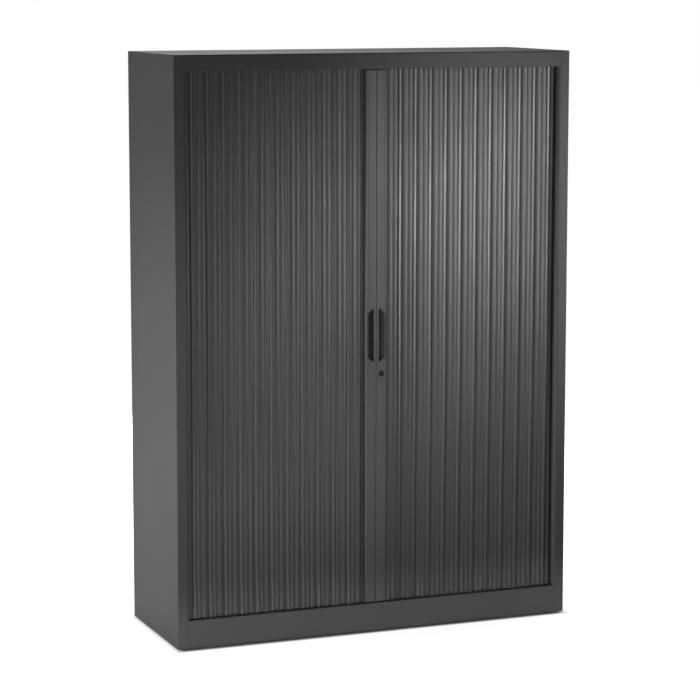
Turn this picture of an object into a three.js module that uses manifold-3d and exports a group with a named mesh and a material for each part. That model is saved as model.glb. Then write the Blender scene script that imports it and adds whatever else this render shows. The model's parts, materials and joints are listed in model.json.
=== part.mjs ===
// Tambour door cabinet in folded sheet steel, millimetres, +Z up, front towards -Y.
// Two ribbed curtains close the front. Each one hangs on a leading stile, runs in an upper and a lower
// track, and turns round the front corner into a channel behind the inner liner.
import * as THREE from 'three';
import { mergeVertices } from 'three/addons/utils/BufferGeometryUtils.js';
import Module from 'manifold-3d';

const wasm = await Module();
wasm.setup();

// Overall size
const width = 1200;
const depth = 420;
const height = 1660;
const floorGap = 3; // daylight between the floor and the plinth

// Sheet steel and clearances
const gauge = 1.2;
const bendRadius = 2;
const seat = 0.3; // between pieces that sit on or in each other
const running = 0.6; // between a sliding piece and its guide
const overrun = 4; // how far a cutting solid runs past what it cuts

// Front frame
const stileFlat = 27; // flat face of a frame stile
const stileRound = 9; // rounded inner edge of a frame stile
const stileLip = 17; // depth of a stile's inner lip, measured from the front
const rearReturn = 20; // fold of a side panel behind the back panel
const topRailHeight = 46;
const plinthHeight = 83.5; // from the floor to the plinth's upper edge
const railReturn = 12; // folds of the rails, measured from the front
const plateInset = 17.6; // where the base and ceiling plates widen behind the stile lips

// Path of the curtains
const curtainSetback = 24; // slat line behind the frame's front
const sideGap = 12; // slat line inside the side panel's outer face
const rearGap = 14; // slat line in front of the cabinet's rear
const cornerRadius = 35;
const rearRun = 250; // track behind the back liner

// Tracks
const trackHeight = 10;
const trackWall = 1.6;
const trackFloor = 1.6;
const centreStopWidth = 6;

// Slats
const slatPitch = 46.5;
const ribRise = 3.4; // a rib above the valley
const beadRise = 4.4; // the joint bead above the valley
const valleyOut = 1.2; // the valley outside the slat line
const slatBack = 3.4; // the slat's back inside the slat line
const hingeNotchWidth = 3;
const hingeNotchDepth = 1.4;
const firstLeaf = 8.4; // plain leaf between the leading stile and the first slat
const tailSlats = 4; // slats beyond the front when the curtain is closed
// One slat from hinge to hinge: share of the pitch, and rise as shares of a rib or of the bead
const ribShares = [
  [0, 0], [0.04, 0.2], [0.08, 0.62], [0.125, 0.92], [0.175, 1], [0.225, 0.92], [0.275, 0.6], [0.31, 0.25],
  [0.345, 0.08], [0.38, 0.25], [0.415, 0.62], [0.455, 0.92], [0.5, 1], [0.545, 0.92], [0.585, 0.6],
  [0.615, 0.22], [0.64, 0.08],
];
const beadShares = [[0.675, 0.2], [0.715, 0.6], [0.76, 0.92], [0.805, 1], [0.845, 0.9], [0.88, 0.55], [0.91, 0.18],
  [0.94, 0]];

// Leading stiles
const meetingGap = 0.4; // from the meeting plane to each leading stile
const leadWidth = 30.6;
const leadSetback = 6; // its face behind the frame's front
const leadDepth = 28;
const leadWall = 1.5;
const leadRound = 3;
const leadGrooveAt = 24.5; // shallow line down the face, from the meeting plane
const leadGrooveWidth = 2.4;
const leadGrooveDepth = 0.8;
const leadEndGap = 2.6; // between a leading stile's end and the track's edge
const hookNeck = 2.4; // thickness of the curtain's edge hook
const hookHead = 2.4;
const hookDrop = 3.3; // how far the hook's head reaches back
const shoeLength = 20;
const shoeTongueWidth = 22;
const shoeFlange = 1.3;

// Handle cups
const cupFloorLevel = 786;
const cupHeight = 150;
const cupChamfer = 17;
const cupInner = 8; // inner wall of the cup's mouth, from the meeting plane
const cupOuter = 27.9; // outer edge of the cup's mouth
const cupDepth = 15.5;
const cupLip = 1.4; // depth at the shallow end of the finger ramp
const cupFlat = 4.2; // width of the deep end
const cupWall = 0.9;

// Lock
const lockLevel = 750;
const lockFlange = 9.5;
const lockFlangeRise = 1.6;
const lockSleeve = 8;
const lockSleeveLength = 12;
const lockPlug = 6;
const lockPlugRecess = 0.5;
const plugClearance = 0.3;
const keySlotWidth = 1.6;
const keySlotLength = 7;
const keySlotDepth = 4;
const squareHalf = 3;
const nutHalf = 11; // half the size of the lock nut across its flats
const nutThickness = 3;
const camThickness = 2;
const camHalf = 5;
const camReach = 24;
const camProng = 3.6; // width of the hook at the cam's tip
const camProngDrop = 6;
const camHeadRadius = 4.6;
const camHeadThickness = 1.6;
const camShank = 1.8;
const strikerThickness = 1.7;
const strikerRim = 4; // steel round the striker's slot
const strikerGrip = 9; // steel below the slot, behind which the hook drops
const slotDrop = 5.6; // lower edge of the striker's slot below the lock's axis
const slotRise = 28;
const lockSlotDrop = 13; // lower edge of the slots in the stiles' meeting walls
const slotSide = 1.5; // room on each side of the cam in its slots

// Inner sheets
const linerInset = 41; // a liner's inner face inside the side panel's outer face
const linerSetback = 47; // a liner's front edge behind the frame's front
const linerFlange = 14;
const backLinerGap = 39; // the back liner's front face before the cabinet's rear
const trayRise = 12.2; // the floor tray's top above the base panel
const trayOverhang = 3; // how far the floor tray runs under the liners
const backPanelGap = 1.5; // the back panel's outer face inside the side panels' returns
const topFlange = 18;

// Shelves and their clips
const tiers = 4;
const shelfFlange = 25;
const shelfReturn = 12;
const shelfSideGap = 1.5;
const shelfFrontGap = 11;
const shelfRearGap = 3;
const slotPitch = 49;
const slotRowsPerTier = 8;
const firstSlot = 43; // the lowest slot above the floor tray
const slotWidth = 4;
const slotHeight = 12;
const slotColumnInset = 60; // slot columns inside the liner's front and rear edges
const clipReach = 15;
const clipWidth = 12;
const clipThickness = 2;
const clipGusset = 15;
const clipHook = 3;
const clipHookDrop = 6;
const clipTab = 4; // height of the tab through the slot

// Levelling feet
const footInsetX = 60;
const footInsetY = 62;
const padRadius = 21;
const padEdge = 3;
const padHeight = 7;
const stemRadius = 5;
const stemTop = 58;
const collarRadius = 9;
const collarHeight = 14;
const screwSlotWidth = 1.6;
const screwSlotDepth = 2.5;
const stemClearance = 0.4;
const accessRadius = 8; // hole in the base panel above each foot
const bracketHalf = 22;
const bracketLength = 44;
const bracketLevel = 30;
const bracketGauge = 2.5;
const bossRadius = 9;
const bossHeight = 8;

// Arc fineness
const arcStep = Math.PI / 12;
const roundSides = 16;

// Places that follow from the sizes
const half = width / 2;
const front = -depth / 2;
const rear = depth / 2;
const openingHalf = half - stileFlat - stileRound;
const frontLine = front + curtainSetback;
const sideLine = half - sideGap;
const rearLine = rear - rearGap;
const cornerStart = sideLine - cornerRadius;
const baseTop = plinthHeight - trackHeight;
const ceilingUnderside = height - topRailHeight + trackHeight;
const trayTop = baseTop + trayRise;
const ribSwell = Math.max(ribRise, beadRise);
const grooveHalf = Math.max(valleyOut + ribSwell, slatBack) + running;
const trackHalf = grooveHalf + trackWall;
const leadFace = front + leadSetback;
const leadBack = leadFace + leadDepth;
const leadOuter = meetingGap + leadWidth;
const linerFace = half - linerInset;
const linerFront = front + linerSetback;
const backLinerFace = rear - backLinerGap;
const backPanelFace = rear - backPanelGap;
const curtainStart = leadOuter + seat;
const firstHinge = curtainStart + firstLeaf;
const frontSlats = Math.floor((cornerStart + seat - firstHinge) / slatPitch);
const frontEnd = firstHinge + frontSlats * slatPitch;
const lowerGroove = baseTop + seat + trackFloor;
const upperGroove = ceilingUnderside - seat - trackFloor;

// Finishes
const bodySteel = new THREE.MeshStandardMaterial({ color: '#54565a', roughness: 0.5, metalness: 0.1 });
const innerSteel = new THREE.MeshStandardMaterial({ color: '#5c5e62', roughness: 0.55, metalness: 0.1 });
const slatPlastic = new THREE.MeshStandardMaterial({ color: '#4c4e51', roughness: 0.42, metalness: 0 });
const leadPlastic = new THREE.MeshStandardMaterial({ color: '#55575a', roughness: 0.38, metalness: 0 });
const blackPlastic = new THREE.MeshStandardMaterial({ color: '#1b1c1e', roughness: 0.6, metalness: 0 });
const zincSteel = new THREE.MeshStandardMaterial({ color: '#a9abad', roughness: 0.4, metalness: 0.9 });
const lockNickel = new THREE.MeshStandardMaterial({ color: '#6d6f72', roughness: 0.3, metalness: 0.9 });

// A closed geometry as a solid that can be cut and joined
function solid(geometry) {
  const bare = new THREE.BufferGeometry();
  bare.setAttribute('position', geometry.getAttribute('position'));
  bare.setIndex(geometry.getIndex());
  const merged = mergeVertices(bare);
  const corners = merged.getIndex().array;
  const kept = [];
  for (let i = 0; i < corners.length; i += 3) {
    const [a, b, c] = corners.slice(i, i + 3);
    if (a !== b && b !== c && c !== a) kept.push(a, b, c);
  }
  return new wasm.Manifold(new wasm.Mesh({
    numProp: 3,
    vertProperties: new Float32Array(merged.getAttribute('position').array),
    triVerts: new Uint32Array(kept),
  }));
}

function geometryOf(shape) {
  const mesh = shape.getMesh();
  const geometry = new THREE.BufferGeometry();
  geometry.setAttribute('position', new THREE.BufferAttribute(mesh.vertProperties, 3));
  geometry.setIndex(new THREE.BufferAttribute(mesh.triVerts, 1));
  geometry.computeVertexNormals();
  return geometry;
}

const xAxis = new THREE.Vector3(1, 0, 0);
const yAxis = new THREE.Vector3(0, 1, 0);
const zAxis = new THREE.Vector3(0, 0, 1);
const standing = new THREE.Matrix4();
const alongX = new THREE.Matrix4().makeBasis(yAxis, zAxis, xAxis);
const alongY = new THREE.Matrix4().makeBasis(zAxis, xAxis, yAxis);

// An outline drawn up between two places along Z. With alongX the outline holds [y, z] points and runs
// along X, and with alongY it holds [z, x] points and runs along Y.
function prism(outline, low, high, direction = standing) {
  const shape = new THREE.Shape(outline.map(([a, b]) => new THREE.Vector2(a, b)));
  const geometry = new THREE.ExtrudeGeometry(shape, { depth: high - low, bevelEnabled: false });
  return solid(geometry.translate(0, 0, low).applyMatrix4(direction));
}

function sorted(a, b) {
  return [Math.min(a, b), Math.max(a, b)];
}

function block([xLow, xHigh], [yLow, yHigh], [zLow, zHigh]) {
  const geometry = new THREE.BoxGeometry(xHigh - xLow, yHigh - yLow, zHigh - zLow);
  return solid(geometry.translate((xLow + xHigh) / 2, (yLow + yHigh) / 2, (zLow + zHigh) / 2));
}

// A profile of [radius, height] points turned about Z
function turned(profile, sides = roundSides) {
  const points = profile.map(([radius, level]) => new THREE.Vector2(radius, level));
  return solid(new THREE.LatheGeometry(points, sides).rotateX(Math.PI / 2));
}

// The same about Y, its heights counted towards the rear from a place on the front
function turnedAlongY(profile, x, y, z, sides = roundSides) {
  const points = profile.map(([radius, level]) => new THREE.Vector2(radius, level));
  return solid(new THREE.LatheGeometry(points, sides).translate(x, y, z));
}

// A path through [a, b, radius] corners, each bend as an arc
function bentPath(corners) {
  const path = [];
  corners.forEach(([a, b, radius = 0], i) => {
    const corner = new THREE.Vector2(a, b);
    if (radius === 0) {
      path.push(corner);
      return;
    }
    const [beforeA, beforeB] = corners[i - 1];
    const [afterA, afterB] = corners[i + 1];
    const before = new THREE.Vector2(beforeA, beforeB).sub(corner).normalize();
    const after = new THREE.Vector2(afterA, afterB).sub(corner).normalize();
    const halfAngle = Math.acos(before.dot(after)) / 2;
    const middle = before.clone().add(after).normalize();
    const centre = corner.clone().addScaledVector(middle, radius / Math.sin(halfAngle));
    const start = corner.clone().addScaledVector(before, radius / Math.tan(halfAngle));
    const turn = Math.PI - 2 * halfAngle;
    const way = -Math.sign(before.cross(after));
    const chords = Math.ceil(turn / arcStep);
    for (let k = 0; k <= chords; k++) {
      path.push(start.clone().rotateAround(centre, way * turn * k / chords));
    }
  });
  return path;
}

// The path moved to its left, or to its right where the distance is negative
function beside(path, distance) {
  return path.map((point, i) => {
    const behind = path[Math.max(i - 1, 0)];
    const ahead = path[Math.min(i + 1, path.length - 1)];
    const outgoing = (i < path.length - 1 ? ahead.clone().sub(point) : point.clone().sub(behind)).normalize();
    const incoming = (i > 0 ? point.clone().sub(behind) : outgoing.clone()).normalize();
    const along = incoming.clone().add(outgoing).normalize();
    const reach = distance / along.dot(incoming);
    return [point.x - along.y * reach, point.y + along.x * reach];
  });
}

// The band between two lines beside a path
function band(path, near, far) {
  return [...beside(path, near), ...beside(path, far).reverse()];
}

// Points of the right half, taken over to the given side
function onSide(outline, side) {
  return outline.map(([x, y]) => [side * x, y]);
}

const cabinet = new THREE.Group();
cabinet.name = 'tambour_cabinet';

function add(name, shape, material, x = 0, y = 0, z = 0) {
  const mesh = new THREE.Mesh(shape.isBufferGeometry ? shape : geometryOf(shape), material);
  mesh.name = name;
  mesh.position.set(x, y, z);
  cabinet.add(mesh);
  return mesh;
}

// Side panels: one sheet folded into the front stile, the side and the rear return
function sidePanel(side) {
  const fold = bentPath([
    [openingHalf, front + stileLip],
    [openingHalf, front, stileRound],
    [half, front, bendRadius],
    [half, rear, bendRadius],
    [half - rearReturn, rear],
  ]);
  return prism(onSide(band(fold, 0, gauge), side), floorGap, height - gauge - seat);
}

// Top panel: a flat sheet with flanges folded down inside the side panels and the back
function topPanel() {
  const edge = half - gauge - seat;
  const near = front + stileLip + seat;
  const far = backPanelFace - gauge - seat;
  const flange = [
    [-edge, near], [gauge - edge, near], [gauge - edge, far - gauge], [edge - gauge, far - gauge],
    [edge - gauge, near], [edge, near], [edge, far], [-edge, far],
  ];
  const sheet = block([-half, half], [front, rear], [height - gauge, height]);
  return sheet.add(prism(flange, height - gauge - topFlange, height - gauge / 2));
}

// Base and ceiling plates share one plan, notched round the stile lips
function platePlan() {
  const narrow = openingHalf - seat;
  const wide = half - gauge - seat;
  const near = front + gauge + seat;
  const shoulder = front + plateInset;
  const far = backPanelFace - gauge - seat;
  return [
    [-narrow, near], [narrow, near], [narrow, shoulder], [wide, shoulder],
    [wide, far], [-wide, far], [-wide, shoulder], [-narrow, shoulder],
  ];
}

function basePanel() {
  let plate = prism(platePlan(), baseTop - gauge, baseTop);
  const drill = turned([
    [0, baseTop - overrun], [accessRadius, baseTop - overrun], [accessRadius, baseTop + overrun],
    [0, baseTop + overrun],
  ]);
  for (const [x, y] of footPlaces()) plate = plate.subtract(drill.translate([x, y, 0]));
  return plate;
}

// Everything on the outer side of a stile's round inner edge, a seat clear of the edge
function behindStileEdge(side) {
  const back = front + stileLip + overrun;
  const edge = bentPath([
    [openingHalf - seat, back],
    [openingHalf - seat, front - seat, stileRound + seat],
    [half, front - seat],
  ]);
  return prism(onSide([...beside(edge, 0), [half, back]], side), 0, height);
}

// Rails: a channel folded back along its upper and lower edges, its ends scribed to the round stile edges
function rail(low, high) {
  const fold = bentPath([
    [front + railReturn, high],
    [front, high, bendRadius],
    [front, low, bendRadius],
    [front + railReturn, low],
  ]);
  const reach = openingHalf + stileRound;
  const channel = prism(band(fold, 0, gauge), -reach, reach, alongX);
  return channel.subtract(behindStileEdge(-1)).subtract(behindStileEdge(1));
}

// Tracks: a grooved plastic strip from the centre round both corners
function track(side, low, floorLow, openHigh) {
  const start = centreStopWidth / 2 + seat;
  const end = cornerStart - rearRun;
  const run = (first, last) => bentPath([
    [first, frontLine], [sideLine, frontLine, cornerRadius], [sideLine, rearLine, cornerRadius], [last, rearLine],
  ]);
  const body = prism(onSide(band(run(start, end), -trackHalf, trackHalf), side), low, low + trackHeight);
  const groove = band(run(start - overrun, end - overrun), -grooveHalf, grooveHalf);
  return body.subtract(prism(onSide(groove, side), floorLow, openHigh));
}

function lowerTrack(side) {
  const low = baseTop + seat;
  return track(side, low, lowerGroove, low + trackHeight + overrun);
}

function upperTrack(side) {
  const low = ceilingUnderside - seat - trackHeight;
  return track(side, low, low - overrun, upperGroove);
}

// Centre stops: a wedge-nosed block between the two tracks, where the shoes meet
function centreStop(low) {
  const nose = trackWall;
  const w = centreStopWidth / 2;
  const d = trackHalf;
  const plan = [
    [-w, nose - d], [nose - w, -d], [w - nose, -d], [w, nose - d],
    [w, d - nose], [w - nose, d], [nose - w, d], [-w, d - nose],
  ];
  return prism(plan.map(([x, y]) => [x, frontLine + y]), low, low + trackHeight);
}

// A point of the right curtain: its distance along the run, and how far it stands outside the slat line
function onRun(run, out) {
  if (run <= cornerStart) return [run, frontLine - out];
  const turnedBy = (run - cornerStart) / cornerRadius;
  if (turnedBy <= Math.PI / 2) {
    const radius = cornerRadius + out;
    return [
      cornerStart + radius * Math.sin(turnedBy),
      frontLine + cornerRadius - radius * Math.cos(turnedBy),
    ];
  }
  const past = run - cornerStart - cornerRadius * Math.PI / 2;
  return [sideLine + out, frontLine + cornerRadius + past];
}

// Ribbed outline of a stretch of slats, front from hinge to hinge and back with a notch at each hinge
function slatOutline(firstRun, slats, leadIn) {
  const outline = [];
  for (let slat = 0; slat < slats; slat++) {
    const start = firstRun + slat * slatPitch;
    for (const [along, rise] of ribShares) {
      outline.push(onRun(start + along * slatPitch, valleyOut + rise * ribRise));
    }
    for (const [along, rise] of beadShares) {
      outline.push(onRun(start + along * slatPitch, valleyOut + rise * beadRise));
    }
  }
  const end = firstRun + slats * slatPitch;
  outline.push(onRun(end, valleyOut));
  outline.push(onRun(end, -slatBack));
  for (let slat = slats - 1; slat >= 0; slat--) {
    const hinge = firstRun + slat * slatPitch;
    for (const share of [2 / 3, 1 / 3]) {
      outline.push(onRun(hinge + share * slatPitch, -slatBack));
    }
    if (slat > 0 || leadIn.length > 0) {
      outline.push(onRun(hinge + hingeNotchWidth / 2, -slatBack));
      outline.push(onRun(hinge, hingeNotchDepth - slatBack));
      outline.push(onRun(hinge - hingeNotchWidth / 2, -slatBack));
    } else {
      outline.push(onRun(hinge, -slatBack));
    }
  }
  return [...outline, ...leadIn];
}

// Front curtain: a plain leaf hooked into the leading stile, then whole slats up to the corner
function frontCurtain(side) {
  const neck = hookNeck / 2;
  const headInner = leadOuter - leadWall - seat - hookHead;
  const headOuter = leadOuter - leadWall - seat;
  const hook = [
    [curtainStart, frontLine + slatBack],
    [curtainStart, frontLine + neck],
    [headOuter, frontLine + neck],
    [headOuter, frontLine + neck + hookDrop],
    [headInner, frontLine + neck + hookDrop],
    [headInner, frontLine - neck],
    [curtainStart, frontLine - neck],
    [curtainStart, frontLine - valleyOut],
  ];
  return prism(onSide(slatOutline(firstHinge, frontSlats, hook), side), curtainLow, curtainHigh);
}

const curtainLow = lowerGroove + running;
const curtainHigh = upperGroove - running;

// Curtain tail: the slats that stay round the corner and in the side channel
function curtainTail(side) {
  return prism(onSide(slatOutline(frontEnd + seat, tailSlats, []), side), curtainLow, curtainHigh);
}

const leadLow = plinthHeight + seat + leadEndGap;
const leadHigh = height - topRailHeight - seat - leadEndGap;

// Mouth of a handle cup with its two outer corners cut off, as [z, x] points
function cupMouth(side, grow) {
  const inner = cupInner - grow;
  const outer = cupOuter + grow;
  const low = cupFloorLevel - grow;
  const high = cupFloorLevel + cupHeight + grow;
  const outline = [
    [low, inner], [high, inner], [high, outer - cupChamfer],
    [high - cupChamfer, outer], [low + cupChamfer, outer], [low, outer - cupChamfer],
  ];
  return outline.map(([z, x]) => [z, side * x]);
}

// Plan of the cup: a deep end next to the meeting plane and a finger ramp outside it
function cupPlan(side, grow, mouth) {
  const floorAt = leadFace + cupDepth + grow;
  const plan = [
    [cupInner - grow, mouth], [cupOuter + grow, mouth], [cupOuter + grow, leadFace + cupLip + grow],
    [cupInner + cupFlat + grow / 2, floorAt], [cupInner - grow, floorAt],
  ];
  return onSide(plan, side);
}

// Leading stile: an open hollow extrusion, keyed for the curtain's hook and cut for the cup and the lock
function leadingStile(side) {
  const keyHalf = hookNeck / 2 + seat;
  const grooveEdge = leadGrooveWidth / 2;
  const groove = [
    [leadGrooveAt + grooveEdge, leadFace],
    [leadGrooveAt, leadFace + leadGrooveDepth],
    [leadGrooveAt - grooveEdge, leadFace],
  ];
  const around = (onFace) => bentPath([
    [leadOuter, frontLine - keyHalf],
    [leadOuter, leadFace, leadRound],
    ...onFace,
    [meetingGap, leadFace, leadWall],
    [meetingGap, leadBack, leadWall],
    [leadOuter, leadBack, leadWall],
    [leadOuter, frontLine + keyHalf],
  ]);
  const wall = [...beside(around(groove), 0), ...beside(around([]), -leadWall).reverse()];
  const profile = prism(onSide(wall, side), leadLow, leadHigh);
  const cut = prism(cupMouth(side, cupWall + seat), leadFace - overrun, leadFace + leadWall + overrun / 2, alongY);
  const stile = profile.subtract(cut).subtract(boltSlot(side));
  return side > 0 ? stile.subtract(lockHole()) : stile;
}

// Handle cup: a moulded tray set in the stile, its edge level with the stile's face
function handleCup(side) {
  const low = cupFloorLevel - overrun;
  const high = cupFloorLevel + cupHeight + overrun;
  const mouth = leadFace - overrun;
  const shell = prism(cupPlan(side, cupWall, leadFace), low, high)
    .intersect(prism(cupMouth(side, cupWall), mouth, leadBack, alongY));
  const cavity = prism(cupPlan(side, 0, mouth), low, high)
    .intersect(prism(cupMouth(side, 0), mouth, leadBack, alongY));
  return shell.subtract(cavity);
}

// Glide shoe: a plug in the end of the stile, a wear flange and a tongue in the track's groove
function glideShoe(side, end, grooveFloor, way) {
  const inner = meetingGap + leadWall + seat;
  const outer = leadOuter - leadWall - seat - hookHead - seat;
  const plugFar = end + way * shoeLength;
  const flangeFar = end - way * (seat + shoeFlange);
  const tongueFar = grooveFloor + way * running;
  const plugFront = leadFace + leadWall + seat;
  const plugBack = leadBack - leadWall - seat;
  const plug = block(sorted(side * inner, side * outer), [plugFront, plugBack], sorted(end - way * seat, plugFar));
  const flange = block(sorted(side * (meetingGap + seat), side * outer), [leadFace + leadRound, plugBack],
    sorted(end - way * seat, flangeFar));
  const tongue = block(sorted(side * (outer - shoeTongueWidth), side * outer),
    [frontLine - grooveHalf + running, frontLine + grooveHalf - running], sorted(end, tongueFar));
  return plug.add(flange).add(tongue);
}

// Lock, on the right leading stile's middle line
const lockX = meetingGap + leadWidth / 2;
const sleeveEnd = leadFace + lockSleeveLength;
const camFront = sleeveEnd + seat;
const camBack = camFront + camThickness;

// Slot through the meeting walls for the cam, with room on both sides of it
function boltSlot(side) {
  return block(sorted(side * (meetingGap - overrun), side * (meetingGap + leadWall + seat)),
    [camFront - slotSide, camBack + slotSide], [lockLevel - lockSlotDrop, lockLevel + slotRise]);
}

// Round hole in the right stile's face for the lock's sleeve
function lockHole() {
  const bore = lockSleeve + seat;
  const far = leadFace + leadWall + overrun / 2;
  return turnedAlongY([[0, leadFace - overrun], [bore, leadFace - overrun], [bore, far], [0, far]], lockX, 0, lockLevel);
}

function lockHousing() {
  const bore = lockPlug + plugClearance;
  return turnedAlongY([
    [bore, -lockFlangeRise], [lockFlange - lockFlangeRise / 2, -lockFlangeRise], [lockFlange, -lockFlangeRise / 2],
    [lockFlange, -seat], [lockSleeve, -seat], [lockSleeve, lockSleeveLength], [bore, lockSleeveLength],
    [bore, -lockFlangeRise],
  ], lockX, leadFace, lockLevel);
}

function lockBarrel() {
  const nose = lockPlugRecess - lockFlangeRise;
  const plug = turnedAlongY([
    [0, nose], [lockPlug, nose], [lockPlug, lockSleeveLength - seat], [0, lockSleeveLength - seat],
  ], lockX, leadFace, lockLevel);
  const square = block(
    [lockX - squareHalf, lockX + squareHalf],
    [sleeveEnd - seat - seat, camBack + seat],
    [lockLevel - squareHalf, lockLevel + squareHalf],
  );
  const key = block(
    [lockX - keySlotWidth / 2, lockX + keySlotWidth / 2],
    [leadFace + nose - overrun, leadFace + nose + keySlotDepth],
    [lockLevel - keySlotLength / 2, lockLevel + keySlotLength / 2],
  );
  const bore = turnedAlongY([
    [0, sleeveEnd - overrun], [camShank + seat, sleeveEnd - overrun], [camShank + seat, camBack + overrun],
    [0, camBack + overrun],
  ], lockX, 0, lockLevel);
  return plug.add(square).subtract(key).subtract(bore);
}

// Lock nut: a hexagon behind the stile's face
function lockNut() {
  const near = leadFace + leadWall + seat;
  const bore = lockSleeve + seat;
  const hexagon = [];
  for (let k = 0; k < 6; k++) {
    const angle = k * Math.PI / 3;
    const corner = nutHalf / Math.cos(Math.PI / 6);
    hexagon.push([lockLevel + corner * Math.cos(angle), lockX + corner * Math.sin(angle)]);
  }
  const hole = turnedAlongY([
    [0, near - overrun], [bore, near - overrun], [bore, near + nutThickness + overrun],
    [0, near + nutThickness + overrun],
  ], lockX, 0, lockLevel);
  return prism(hexagon, near, near + nutThickness, alongY).subtract(hole);
}

// Hook cam, standing up when the lock is open. Its prong points to the left stile.
function lockCam() {
  const rest = [
    [-camHalf, -camHalf], [-camHalf, camReach - camProng], [-camHalf - camProngDrop, camReach - camProng],
    [-camHalf - camProngDrop, camReach], [camHalf / 2, camReach], [camHalf, camReach - camHalf / 2],
    [camHalf, -camHalf / 2], [camHalf / 2, -camHalf],
  ];
  const plate = prism(rest.map(([x, z]) => [lockLevel + z, lockX + x]), camFront, camBack, alongY);
  const eye = squareHalf + seat;
  return plate.subtract(block([lockX - eye, lockX + eye], [camFront - overrun, camBack + overrun],
    [lockLevel - eye, lockLevel + eye]));
}

function camScrew() {
  const under = camBack + seat + seat;
  return turnedAlongY([
    [0, sleeveEnd - overrun + seat], [camShank, sleeveEnd - overrun + seat], [camShank, under], [camHeadRadius, under],
    [camHeadRadius, under + camHeadThickness], [0, under + camHeadThickness],
  ], lockX, 0, lockLevel);
}

// Striker: a slotted plate inside the left stile's meeting wall
function lockStriker() {
  const near = -meetingGap - leadWall - seat;
  const low = lockLevel - slotDrop - strikerGrip;
  const high = lockLevel + slotRise + strikerRim;
  const plate = block([near - strikerThickness, near],
    [camFront - slotSide - strikerRim, camBack + slotSide + strikerRim], [low, high]);
  return plate.subtract(block([near - strikerThickness - overrun, near + overrun],
    [camFront - slotSide, camBack + slotSide], [lockLevel - slotDrop, lockLevel + slotRise]));
}

// Floor tray between the side channels
function floorTray() {
  const far = backLinerFace + gauge + trayOverhang;
  const near = linerFront - gauge;
  const low = baseTop + seat;
  const fold = bentPath([
    [near, low], [near, trayTop, bendRadius], [far, trayTop, bendRadius], [far, low],
  ]);
  const reach = linerFace + trayOverhang;
  return prism(band(fold, 0, -gauge), -reach, reach, alongX);
}

// Inner liners, folded in at the front and slotted for the shelf clips
function slotRows() {
  const rows = [];
  for (let z = trayTop + firstSlot; z + slotHeight < ceilingUnderside - firstSlot; z += slotPitch) rows.push(z);
  return rows;
}

const linerBack = backLinerFace - seat;
const slotColumns = [linerFront + slotColumnInset, linerBack - slotColumnInset];

function liner(side) {
  const fold = bentPath([
    [linerFace - linerFlange, linerFront], [linerFace + gauge, linerFront, bendRadius],
    [linerFace + gauge, linerBack],
  ]);
  const sheet = prism(onSide(band(fold, 0, gauge), side), trayTop + seat, ceilingUnderside - seat);
  const cuts = [];
  for (const y of slotColumns) {
    for (const z of slotRows()) {
      cuts.push(block(sorted(side * (linerFace - overrun), side * (linerFace + overrun)),
        [y - slotWidth / 2, y + slotWidth / 2], [z, z + slotHeight]));
    }
  }
  return sheet.subtract(wasm.Manifold.union(cuts));
}

function backLiner() {
  const reach = linerFace + gauge;
  return block([-reach, reach], [backLinerFace, backLinerFace + gauge], [trayTop + seat, ceilingUnderside - seat]);
}

function backPanel() {
  const reach = half - gauge - seat;
  return block([-reach, reach], [backPanelFace - gauge, backPanelFace],
    [floorGap + gauge, height - gauge - seat - gauge]);
}

// Shelf: a tray folded down and back along its front and rear edges, its sheet's underside at level 0
function shelf() {
  const near = linerFront + shelfFrontGap;
  const far = backLinerFace - shelfRearGap;
  const fold = bentPath([
    [near + shelfReturn, gauge - shelfFlange], [near, gauge - shelfFlange, bendRadius], [near, gauge, bendRadius],
    [far, gauge, bendRadius], [far, gauge - shelfFlange, bendRadius], [far - shelfReturn, gauge - shelfFlange],
  ]);
  const reach = linerFace - shelfSideGap;
  return geometryOf(prism(band(fold, 0, -gauge), -reach, reach, alongX));
}

// Shelf clip: a gusseted ledge whose hook drops behind the liner. Its ledge is at level 0 and the liner's
// face at x 0, with the shelf on its -X side.
function shelfClip() {
  const near = -seat;
  const behind = gauge + seat;
  const ledge = [
    [0, near], [0, near - clipReach], [-clipThickness, near - clipReach],
    [-clipThickness - clipGusset, near - clipThickness], [-clipThickness - clipGusset, near],
  ];
  const tabTop = -clipThickness - clipTab;
  const hook = [
    [tabTop + clipTab, near - clipThickness / 2], [tabTop + clipTab, behind + clipThickness],
    [tabTop - clipHookDrop, behind + clipThickness], [tabTop - clipHookDrop, behind], [tabTop, behind],
    [tabTop, near - clipThickness / 2],
  ];
  return geometryOf(prism(ledge, -clipWidth / 2, clipWidth / 2, alongY)
    .add(prism(hook, -clipHook / 2, clipHook / 2, alongY)));
}

// Levelling feet in brackets under the base panel
function footPlaces() {
  const x = half - footInsetX;
  const y = depth / 2 - footInsetY;
  return [[-x, -y], [x, -y], [-x, y], [x, y]];
}

function levellingFoot() {
  const body = turned([
    [0, 0], [padRadius - padEdge / 3, 0], [padRadius, padEdge / 3], [padRadius, padEdge],
    [collarRadius, padHeight], [collarRadius, collarHeight], [stemRadius, collarHeight],
    [stemRadius, stemTop], [0, stemTop],
  ]);
  return geometryOf(body.subtract(block([-padRadius, padRadius], [-screwSlotWidth / 2, screwSlotWidth / 2],
    [stemTop - screwSlotDepth, stemTop + overrun])));
}

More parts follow.
